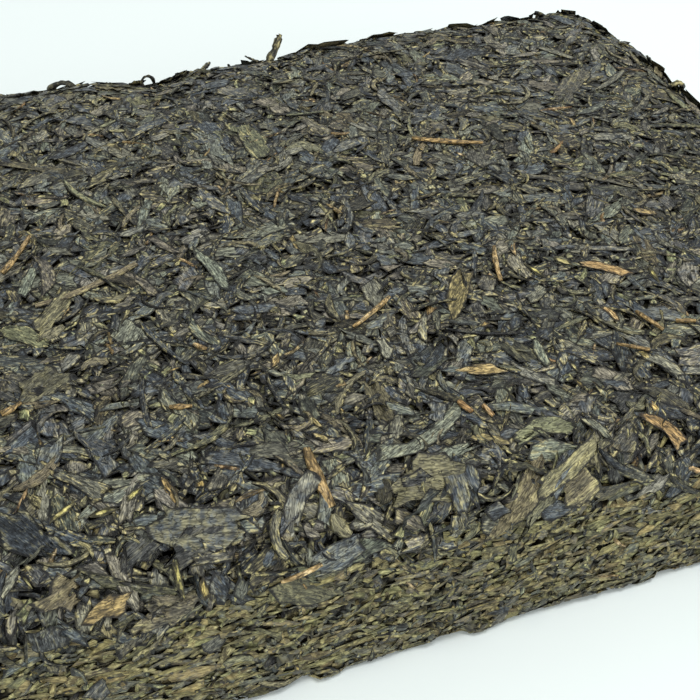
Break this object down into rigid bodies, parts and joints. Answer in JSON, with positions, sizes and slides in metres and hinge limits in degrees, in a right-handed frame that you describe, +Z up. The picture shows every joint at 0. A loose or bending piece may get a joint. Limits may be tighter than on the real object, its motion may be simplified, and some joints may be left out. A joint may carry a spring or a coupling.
{
  "type": "dark tea brick",
  "caption": "Rectangular brick of pressed dark tea leaf with rounded shoulders, a flaky uneven top, layered sides and a flat back.",
  "frame": {"origin": "middle of the underside, on the surface that the brick lies on", "axes": "+X along the brick's length, +Y across its width towards the back edge, +Z up through its thickness"},
  "size_m": [0.23, 0.148, 0.0363],
  "materials": {
    "pressed_leaf": "dry pressed tea leaf, slate grey to olive with tan stems, satin on the flat flakes"
  },
  "bodies": {
    "root": {"tea_brick": "pressed_leaf"}
  },
  "joints": []
}
